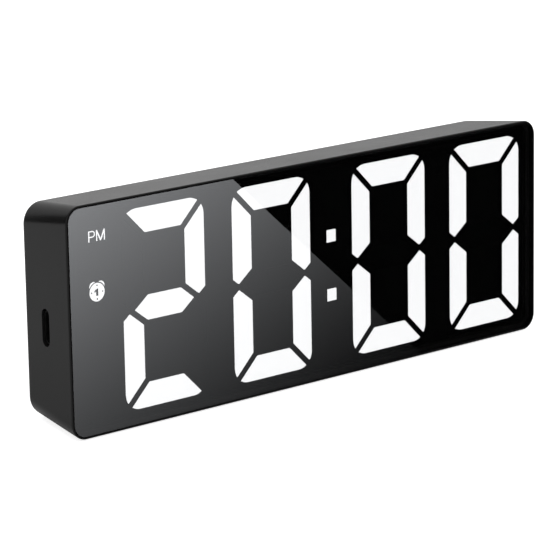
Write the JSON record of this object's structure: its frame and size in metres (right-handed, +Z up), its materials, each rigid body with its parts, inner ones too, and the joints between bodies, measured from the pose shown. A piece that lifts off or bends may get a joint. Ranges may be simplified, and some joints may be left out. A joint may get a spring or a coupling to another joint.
{
  "type": "digital alarm clock",
  "caption": "Low, wide black desk clock with large white lit digits behind a smoked front lens, rear buttons, a hinged battery door and a side charging socket.",
  "frame": {"origin": "on the surface the clock stands on, under the middle of its width and depth", "axes": "+X to the right as seen from the front, +Y from the face towards the back, +Z up; the face looks along -Y and leans back by 6.1 degrees"},
  "size_m": [0.165, 0.0272, 0.0601],
  "materials": {
    "housing_black": "satin moulded black plastic",
    "cover_black": "fine matt black plastic",
    "smoked_lens": "polished smoked acrylic",
    "tape_grey": "black foam tape",
    "mask_black": "dead matt black plastic",
    "guide_white": "milky light-guide plastic",
    "board_green": "solder-masked glass-fibre board",
    "chip_black": "black moulded resin",
    "button_grey": "satin dark grey plastic",
    "plunger_grey": "grey moulded plastic",
    "steel": "nickel-plated steel",
    "dark_steel": "blackened steel",
    "cell_sleeve": "plain shrink sleeve",
    "lead_red": "red wire insulation",
    "lead_black": "black wire insulation",
    "foot_rubber": "matt black rubber"
  },
  "bodies": {
    "clock_body": {"front_housing": "housing_black", "rear_cover": "cover_black", "front_lens": "smoked_lens", "lens_tape": "tape_grey", "segment_mask": "mask_black", "digit_guide_1": "guide_white", "digit_guide_2": "guide_white", "digit_guide_3": "guide_white", "digit_guide_4": "guide_white", "colon_guide": "guide_white", "sign_guide": "guide_white", "display_board": "board_green", "driver_chip": "chip_black", "clock_crystal": "steel", "buzzer": "chip_black", "charging_board": "board_green", "usb_socket": "steel", "usb_tongue": "chip_black", "switch_mode": "chip_black", "switch_set": "chip_black", "switch_up": "chip_black", "switch_down": "chip_black", "switch_alarm": "chip_black", "battery_cell_1": "cell_sleeve", "battery_cell_2": "cell_sleeve", "battery_cell_3": "cell_sleeve", "battery_spring_1": "steel", "battery_spring_2": "steel", "battery_spring_3": "steel", "battery_plate_positive": "steel", "battery_plate_negative": "steel", "battery_link_1": "steel", "battery_link_2": "steel", "battery_lead_positive": "lead_red", "battery_lead_negative": "lead_black", "cover_screw_1": "dark_steel", "cover_screw_2": "dark_steel", "cover_screw_3": "dark_steel", "cover_screw_4": "dark_steel", "board_screw_1": "dark_steel", "board_screw_2": "dark_steel", "board_screw_3": "dark_steel", "board_screw_4": "dark_steel", "front_foot_strip": "foot_rubber", "rear_foot_strip": "foot_rubber"},
    "door": {"battery_door": "cover_black"},
    "mode_key": {"button_mode": "button_grey", "plunger_mode": "plunger_grey"},
    "set_key": {"button_set": "button_grey", "plunger_set": "plunger_grey"},
    "up_key": {"button_up": "button_grey", "plunger_up": "plunger_grey"},
    "down_key": {"button_down": "button_grey", "plunger_down": "plunger_grey"},
    "alarm_key": {"button_alarm": "button_grey", "plunger_alarm": "plunger_grey"}
  },
  "joints": [
    {"name": "battery_door_hinge", "type": "hinge", "parent": "clock_body", "child": "door", "pos_m": [0, 0.00818, 0.0114], "axis": [-1, 0, 0], "range_deg": [0, 95]},
    {"name": "mode_press", "type": "slide", "parent": "clock_body", "child": "mode_key", "axis": [0, -0.9943, 0.1062], "range_m": [0, 0.0005], "stiffness_N_per_m": 1500},
    {"name": "set_press", "type": "slide", "parent": "clock_body", "child": "set_key", "axis": [0, -0.9943, 0.1062], "range_m": [0, 0.0005], "stiffness_N_per_m": 1500},
    {"name": "up_press", "type": "slide", "parent": "clock_body", "child": "up_key", "axis": [0, -0.9943, 0.1062], "range_m": [0, 0.0005], "stiffness_N_per_m": 1500},
    {"name": "down_press", "type": "slide", "parent": "clock_body", "child": "down_key", "axis": [0, -0.9943, 0.1062], "range_m": [0, 0.0005], "stiffness_N_per_m": 1500},
    {"name": "alarm_press", "type": "slide", "parent": "clock_body", "child": "alarm_key", "axis": [0, -0.9943, 0.1062], "range_m": [0, 0.0005], "stiffness_N_per_m": 1500}
  ]
}
